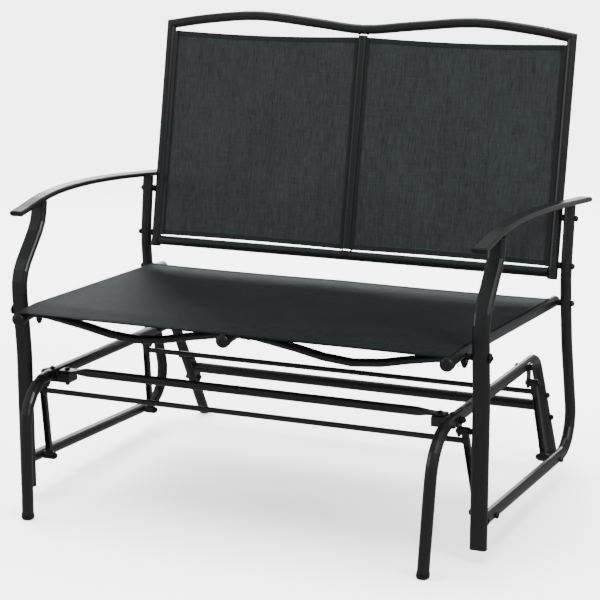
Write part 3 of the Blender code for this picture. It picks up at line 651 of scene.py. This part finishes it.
def seat_sling():
    """The seat cloth, laid over the three rails from the rear to their tips, its edges on the side rails."""
    line = rounded_line(SEAT_RAIL_PATH, SEAT_RAIL_BEND, 10)
    line.append(line[-1] + (line[-1] - line[-2]).normalized() * 0.010)
    line = finer(line, 0.012)
    rear_y, front_y = SEAT_CLOTH_Y
    lengths = [0.0]
    for low, high in zip(line, line[1:]):
        lengths.append(lengths[-1] + (high - low).length)

    def at(distance):
        """A point of the rail's centre line, in (y, z), and the direction away from the rail."""
        index = next((i for i in range(len(line) - 1) if distance <= lengths[i + 1]), len(line) - 2)
        share = (distance - lengths[index]) / (lengths[index + 1] - lengths[index])
        tangent = (line[min(index + 2, len(line) - 1)] - line[max(index - 1, 0)]).normalized()
        return line[index].lerp(line[index + 1], share), Vector((tangent.y, -tangent.x))

    def distance_at(y):
        index = next(i for i in range(len(line) - 1) if line[i + 1].x <= y <= line[i].x)
        return lengths[index] + (line[index].x - y) / (line[index].x - line[index + 1].x) * (
            lengths[index + 1] - lengths[index])

    start, end = distance_at(rear_y), distance_at(front_y)
    length = end - start
    widest = seat_rail_x(rear_y) + SEAT_CLOTH_LAP
    on_rail = TUBE_R + HEM_T / 2 + 0.0002

    def place(u, v, offset):
        point, up = at(start + v)
        rail_x = seat_rail_x(point.x)
        x = (u / widest - 1) * (rail_x + SEAT_CLOTH_LAP)
        past = max(0.0, abs(x) - rail_x)
        rise = math.sqrt(max(1e-6, on_rail ** 2 - past ** 2))
        between = min(1.0, max(0.0, (abs(x) - 0.006) / (rail_x - 0.010)))
        slack = math.sin(math.pi * between)
        along = v / length
        rise -= slack * (0.0034 * math.sin(math.pi * along) + 0.0006)
        drawn_in = 0.0040 * slack * (along ** 8 - (1 - along) ** 8)
        lean = past / on_rail * math.copysign(1.0, x)
        spot = point + up * (rise + offset * math.sqrt(1 - lean * lean)) + Vector((drawn_in, 0))
        return Vector((x + offset * lean, spot.x, spot.y))

    across = 2 * widest
    by_edge = (0.0, 0.003, 0.006, 0.009)
    even = [across * i / 84 for i in range(1, 84)]
    columns = [*by_edge, *(u for u in even if 0.010 < u < across - even[0]),
               *(across - inset for inset in reversed(by_edge))]
    rows = hem_rows(length, 0.011)
    mean_half = (seat_rail_x(rear_y) + seat_rail_x(front_y)) / 2 + SEAT_CLOTH_LAP
    panel = cloth_piece("seat_cloth", columns, rows, place, SEAT_CLOTH_PAINTED_SHADE)
    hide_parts("seat_sling")
    stitches = hem_stitches("seat_stitches", place, across, length, 0.004, 110, 23)
    2 * mean_half * length


def track_section(depth, half):
    """A channel's outline, open towards -u, with rounded lips. Its back is at u = 0."""
    lip, slot = 0.0011, CLOTH_T * 0.5 + 0.0006
    return [(0, -half), (0, half), (-depth + 0.0006, half), (-depth, half - 0.0006),
            (-depth, slot + lip * 0.3),
            (-depth + 0.0004, slot), (-0.0012, slot), (-0.0012, -slot), (-depth + 0.0004, -slot),
            (-depth, -slot - lip * 0.3), (-depth, -half + 0.0006), (-depth + 0.0006, -half)]


def back_tracks():
    """Channels along the uprights that grip the back cloth's side edges."""
    low_z, high_z = BACK_CLOTH_Z
    low_z, high_z = low_z - 0.0005, high_z - 0.001
    for label, side in SIDES:
        for place, root, depth, half, open_to in (("outer", BACK_X - BACK_R + 0.0012, 0.0092, 0.0048, -1),
                                                  ("inner", BACK_R - 0.0010, 0.0056, 0.0040, 1)):
            section = [(u * side * -open_to, v) for u, v in track_section(depth, half)]
            path = [Vector((side * root, back_y(z), z)) for z in (low_z, high_z)]
            verts, faces = swept(path, section, (1, 0, 0))
            make_piece("back_track_" + place + "_" + label, verts, faces, STEEL, "swing", 30.0)


# ================================================================ plugs and caps
def rail_caps():
    """Round plastic caps over the front ends of the three seat rails."""
    tip, before = SEAT_RAIL_PATH[2], SEAT_RAIL_PATH[1]
    out = Vector((0, tip[0] - before[0], tip[1] - before[1])).normalized()
    rings = [(-0.0135, 0.0130, 0), (-0.0132, 0.0142, 0), (-0.0040, 0.0147, 0), (0.0015, 0.0146, 0),
             (0.0040, 0.0136, 0), (0.0062, 0.0113, 0), (0.0076, 0.0080, 0), (0.0084, 0.0042, 0),
             (0.0086, 0.0010, 0)]
    for label, side in (*SIDES, ("centre", 0)):
        place = Vector((side * SEAT_RAIL_X[0], *tip))
        verts, faces = turned_parts([(place, out, rings)], 36)
        make_piece("seat_rail_cap_" + label, verts, faces, PLUG_PLASTIC, "swing", 40.0)


def flat_plug(name, centre, out, across, half_u, half_v, corner, body, proud=0.0016):
    """An oval plug pushed into a flat tube's end, with a rounded lip and a shallow dished face."""
    verts, faces = [], []
    up = Vector(out).cross(Vector(across)).normalized()
    rows = ((-0.0001, 1.0, 0.0), (proud * 0.6, 1.0, -0.0001), (proud, 0.94, 0.0), (proud, 0.80, 0.0),
            (proud - 0.0009, 0.72, 0.0))
    count = 0
    for along, share, grow in rows:
        shrink = (1 - share) * half_v * 1.4
        outline = oval(half_u - shrink + grow, half_v - shrink + grow, max(0.0006, corner - shrink))
        count = len(outline)
        verts += [Vector(centre) + Vector(out) * along + Vector(across) * u + up * v for u, v in outline]
    for row in range(len(rows) - 1):
        for index in range(count):
            following = (index + 1) % count
            low = row * count
            faces.append((low + index, low + following, low + count + following, low + count + index))
    faces.append(tuple(range(count)))
    faces.append(tuple(reversed(range((len(rows) - 1) * count, len(rows) * count))))
    return make_piece(name, verts, faces, PLUG_PLASTIC, body, 40.0)


def arm_plugs():
    for label, side in SIDES:
        for end, points in (("front", ARM_FRONT), ("rear", ARM_REAR)):
            tip, second, third = (Vector((side * point.x, point.y, point.z)) for point in points)
            out = -(2 * (second - tip) - 0.5 * (third - tip)).normalized()
            out.x = 0
            out.normalize()
            flat_plug("armrest_plug_" + end + "_" + label, tip + out * 0.0002, out, (1, 0, 0),
                      ARM_HALF_X - 0.0012, ARM_HALF_Z - 0.0010, 0.0048, "swing")


def post_caps():
    for label, side in SIDES:
        flat_plug("front_post_cap_" + label, (side * POST_X, POST_BOTTOM_Y, POST_BOTTOM_Z), (0, 0, -1),
                  (1, 0, 0), POST_HALF_X + 0.0003, POST_HALF_Y + 0.0003, 0.0085, "swing", proud=0.0030)
        low_z = BACK_BOTTOM_Z - BACK_R
        down = Vector((0, -BACK_LEAN, -1)).normalized()
        rings = [(-0.0004, 0.0100, 0), (0.0010, 0.0113, 0), (0.0024, 0.0110, 0), (0.0034, 0.0098, 0),
                 (0.0036, 0.0070, 0), (0.0024, 0.0062, 0)]
        verts, faces = turned_parts([((side * BACK_X, back_y(low_z), low_z), down, rings)], 32)
        make_piece("back_upright_plug_" + label, verts, faces, PLUG_PLASTIC, "swing", 40.0)


# ================================================================ fasteners
def acorn_nut(reach=0.0068, washer=0.0086, height=0.0112):
    """A washer, a hexagonal nut and its dome, from the face it sits on outwards."""
    hexagon = 0.48 * height
    return [(0.0, washer, 0), (0.0009, washer + 0.0002, 0), (0.0012, washer - 0.0004, 0),
            (0.0012, reach * 1.02, 6),
            (0.0017, reach * 1.08, 6), (hexagon - 0.0006, reach * 1.08, 6), (hexagon, reach * 0.98, 6),
            (hexagon, reach * 0.86, 0), (hexagon + 0.0016, reach * 0.84, 0),
            (hexagon + 0.0034, reach * 0.70, 0),
            (height - 0.0010, reach * 0.44, 0), (height - 0.0002, reach * 0.18, 0), (height, reach * 0.04, 0)]


def round_head(reach=0.0068, height=0.0048):
    """A button head with a six-sided socket, from the face it sits on outwards."""
    return [(0.0, reach, 0), (0.0008, reach * 1.04, 0), (height * 0.55, reach * 0.86, 0),
            (height * 0.9, reach * 0.58, 0),
            (height, reach * 0.46, 0), (height, reach * 0.40, 6), (height * 0.45, reach * 0.38, 6)]


def fitting(name, spots, body):
    verts, faces = turned_parts(spots, 24)
    return make_piece(name, verts, faces, FASTENER, body, 32.0)


def frame_fittings():
    """Bolts and nuts of the brackets and spreaders, beyond the bolts that the frame already has."""
    for label, side in SIDES:
        out = (side, 0, 0)
        for place, (y, _) in zip(("front", "rear"), PIVOTS):
            z = top_run_z(y) + 0.0020
            fitting("bracket_bolt_" + place + "_" + label,
                    [((side * BRACKET_OUTER_X, y, z), out, acorn_nut(0.0074, 0.0090, 0.0124)),
                     ((side * (BASE_X - TUBE_R), y, z), (-side, 0, 0), round_head(0.0070, 0.0050))], "base")
        x = BASE_X - TUBE_R - 0.017
        tongue_z = top_run_z(CROSSBAR_Y) + 0.0065
        tube_y = CROSSBAR_Y - 0.013
        fitting("crossbar_bolt_" + label,
                [((side * x, CROSSBAR_Y, tongue_z + 0.0027), (0, 0, 1), round_head(0.0062, 0.0042)),
                 ((side * x, CROSSBAR_Y, top_run_z(CROSSBAR_Y) - TUBE_R - 0.0040), (0, 0, -1),
                  acorn_nut(0.0060, 0.0078, 0.0100)),
                 ((side * BASE_X, tube_y, top_run_z(tube_y) + TUBE_R - 0.0002), (0, 0, 1),
                  round_head(0.0062, 0.0042))],
                "base")
        under = seat_rail_z(SPREADER_Y) - TUBE_R - 0.0062
        fitting("spreader_nut_" + label,
                [((side * (seat_rail_x(SPREADER_Y) + 0.003), SPREADER_Y, under), (0, 0, -1),
                  acorn_nut(0.0072, 0.0088, 0.0150))], "swing")
    fitting("spreader_nut_centre_pair",
            [((side * 0.0155, SPREADER_Y, seat_rail_z(SPREADER_Y) - TUBE_R - 0.0062), (0, 0, -1),
              round_head(0.0058, 0.0036)) for side in (-1, 1)], "swing")


# ================================================================ welds
def ring_line(centre, first, second, radius, count):
    """A closed round line in the plane of two directions."""
    centre, first, second = Vector(centre), Vector(first) * radius, Vector(second) * radius
    turns = [2 * math.pi * index / count for index in range(count)]
    return [centre + first * math.cos(turn) + second * math.sin(turn) for turn in turns], True


def weld_beads():
    """Ripples of weld where the tubes meet, one mesh for each body."""
    lean = Vector((0, BACK_LEAN, 1)).normalized()
    lines = []
    bottom = Vector((0, back_y(BACK_BOTTOM_Z), BACK_BOTTOM_Z))
    for side in (-1, 1):
        lines.append(saddle((side * (BACK_X - BACK_R), bottom.y, bottom.z), (side, 0, 0), BACK_R + 0.0002,
                            (side * BACK_X, bottom.y, bottom.z), lean, BACK_R + 0.0003))
        rear_z = seat_rail_z(SEAT_REAR_TUBE_Y)
        rail_x = seat_rail_x(SEAT_REAR_TUBE_Y)
        lines.append(saddle((side * (rail_x - TUBE_R), SEAT_REAR_TUBE_Y, rear_z), (side, 0, 0),
                            CROSSBAR_R + 0.0002, (side * rail_x, SEAT_REAR_TUBE_Y, rear_z),
                            Vector((side * 0.0238, 1, -0.0393)), TUBE_R + 0.0003))
        post_y = POST_BOTTOM_Y + POST_HALF_Y
        lines.append(ring_line((side * SWING_X, post_y + 0.0006, LOW_RUN_Z), (1, 0, 0), (0, 0, 1),
                               TUBE_R + 0.0002, 28))
    top_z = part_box("back_centre_upright")[1].z
    lines.append(saddle((0, back_y(BACK_BOTTOM_Z + BACK_R), BACK_BOTTOM_Z + BACK_R), lean, BACK_R + 0.0002,
                        bottom, (1, 0, 0), BACK_R + 0.0003))
    high = Vector((0, back_y(BACK_TOP_Z), BACK_TOP_Z))
    lines.append(saddle((0, back_y(top_z), top_z), lean, BACK_R + 0.0002, high, (1, 0, 0), BACK_R + 0.0003))
    bead_rows("swing_welds", lines, "swing", WELD, 0.0017, 0.0034, 0.0032, 0.0032, 0.22, 41)

    base_lines = []
    share = (REAR_LEG[0][1] - REAR_BAR_Z) / REAR_LEG[0][1]
    bar_y = REAR_LEG[0][0] + (REAR_LEG[1][0] - REAR_LEG[0][0]) * share
    for side in (-1, 1):
        base_lines.append(ring_line((side * (BASE_X - TUBE_R - 0.0046), bar_y, REAR_BAR_Z), (0, 1, 0),
                                    (0, 0, 1), TUBE_R + 0.0003, 30))
        for y, z in PIVOTS:
            run_z = top_run_z(y)
            for edge in (-1, 1):
                base_lines.append(([Vector((side * (BASE_X + TUBE_R + 0.0006), y + edge * 0.0128, run_z + h))
                                    for h in (-0.005, 0.0, 0.005)], False))
    bead_rows("base_welds", base_lines, "base", WELD, 0.0017, 0.0034, 0.0030, 0.0030, 0.22, 43)

    for body, (y, z) in zip(("front_hanger", "rear_hanger"), PIVOTS):
        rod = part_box(body + "_rod")
        centre = (rod[0] + rod[1]) / 2
        end_x = rod[1].x - 0.0004
        rings = [ring_line((side * end_x, centre.y, centre.z), (0, 1, 0), (0, 0, 1), ROD_R + 0.0002, 20)
                 for side in (-1, 1)]
        bead_rows(body + "_welds", rings, body, WELD, 0.0014, 0.0026, 0.0024, 0.0024, 0.22, 47)


# ================================================================ finishes of the fixed frame
def finish_frame():
    slots = {item["node"]: item["material_slot"] for item in frame["record"]["subparts"]}
    bodies = frame["record"]["behaviour"]["bodies"]
    base = set(bodies["base"])
    finishes = {"foot_caps": FOOT_PLASTIC, "fasteners": FASTENER, "back_fabric": BACK_CLOTH,
                "seat_fabric": SEAT_CLOTH_PAINTED_SHADE}
    for name, node in frame["nodes"].items():
        finish = finishes.get(slots[name]) or (STEEL_BASE if name in base else STEEL)
        node.data.materials.clear()
        node.data.materials.append(finish)


# ================================================================ studio
def pale_floor():
    finish = Finish("studio_floor", Roughness=0.9, Specular_IOR_Level=0.1)
    where = finish.place()
    grain = finish.noise(where, 1.3, 3.0)
    finish.set("Base Color", finish.blend(grain, (0.86, 0.86, 0.86), (0.88, 0.88, 0.88)))
    mesh = bpy.data.meshes.new("studio_floor")
    reach = 30.0
    mesh.from_pydata([(-reach, -reach, -0.0004), (reach, -reach, -0.0004), (reach, reach, -0.0004),
                      (-reach, reach, -0.0004)], [], [(0, 1, 2, 3)])
    mesh.materials.append(finish.material)
    floor = bpy.data.objects.new("studio_floor", mesh)
    bpy.context.scene.collection.objects.link(floor)
    floor.visible_diffuse = False
    floor.visible_glossy = False
    return floor


def soft_light(name, place, target, width, height, power):
    data = bpy.data.lights.new(name, "AREA")
    data.shape = "RECTANGLE"
    data.size, data.size_y, data.energy = width, height, power
    lamp = bpy.data.objects.new(name, data)
    lamp.location = place
    lamp.rotation_euler = (Vector(target) - Vector(place)).to_track_quat("-Z", "Y").to_euler()
    bpy.context.scene.collection.objects.link(lamp)


def floor_lights(floor):
    """Broad light for the floor alone, so that it stays near white under a dark object."""
    lit = bpy.data.collections.new("lit_by_floor_lights")
    lit.objects.link(floor)
    for name, power, spread, shadow in (("floor_key", 13.0, 70, True), ("floor_fill", 4.5, 10, False)):
        data = bpy.data.lights.new(name, "SUN")
        data.energy, data.angle, data.use_shadow = power, math.radians(spread), shadow
        lamp = bpy.data.objects.new(name, data)
        lamp.rotation_euler = Vector((-0.30, 0.12, 1.0)).to_track_quat("Z", "Y").to_euler()
        lamp.light_linking.receiver_collection = lit
        bpy.context.scene.collection.objects.link(lamp)


def studio():
    floor_lights(pale_floor())
    world = bpy.data.worlds.new("studio")
    world.use_nodes = True
    backdrop = world.node_tree.nodes["Background"]
    backdrop.inputs["Color"].default_value = (1.0, 1.0, 1.0, 1.0)
    backdrop.inputs["Strength"].default_value = 0.36
    bpy.context.scene.world = world
    soft_light("key", (2.9, -1.3, 3.0), (0, 0, 0.5), 1.3, 1.6, 66)
    soft_light("left", (-3.2, -2.2, 1.9), (0, 0, 0.5), 0.8, 2.2, 26)
    soft_light("top", (-0.6, 0.9, 3.3), (0, 0, 0.5), 2.0, 1.0, 20)
    soft_light("behind", (-1.4, 3.4, 1.7), (0, 0, 0.5), 3.0, 1.0, 80)


def camera():
    azimuth, elevation = math.radians(23.13), math.radians(12.78)
    back = Vector((math.sin(azimuth) * math.cos(elevation), -math.cos(azimuth) * math.cos(elevation),
                   math.sin(elevation)))
    data = bpy.data.cameras.new("camera")
    data.lens, data.sensor_width = 115.2, 36.0
    data.clip_end = 200.0
    eye = bpy.data.objects.new("camera", data)
    eye.location = (1.606, -3.7693, 1.3524)
    eye.rotation_euler = (-back).to_track_quat("-Z", "Y").to_euler()
    bpy.context.scene.collection.objects.link(eye)
    bpy.context.scene.camera = eye


finish_frame()
for side_label, side_sign in SIDES:
    back_sling(side_label, side_sign)
seat_sling()
back_tracks()
rail_caps()
arm_plugs()
post_caps()
frame_fittings()
weld_beads()
studio()
camera()
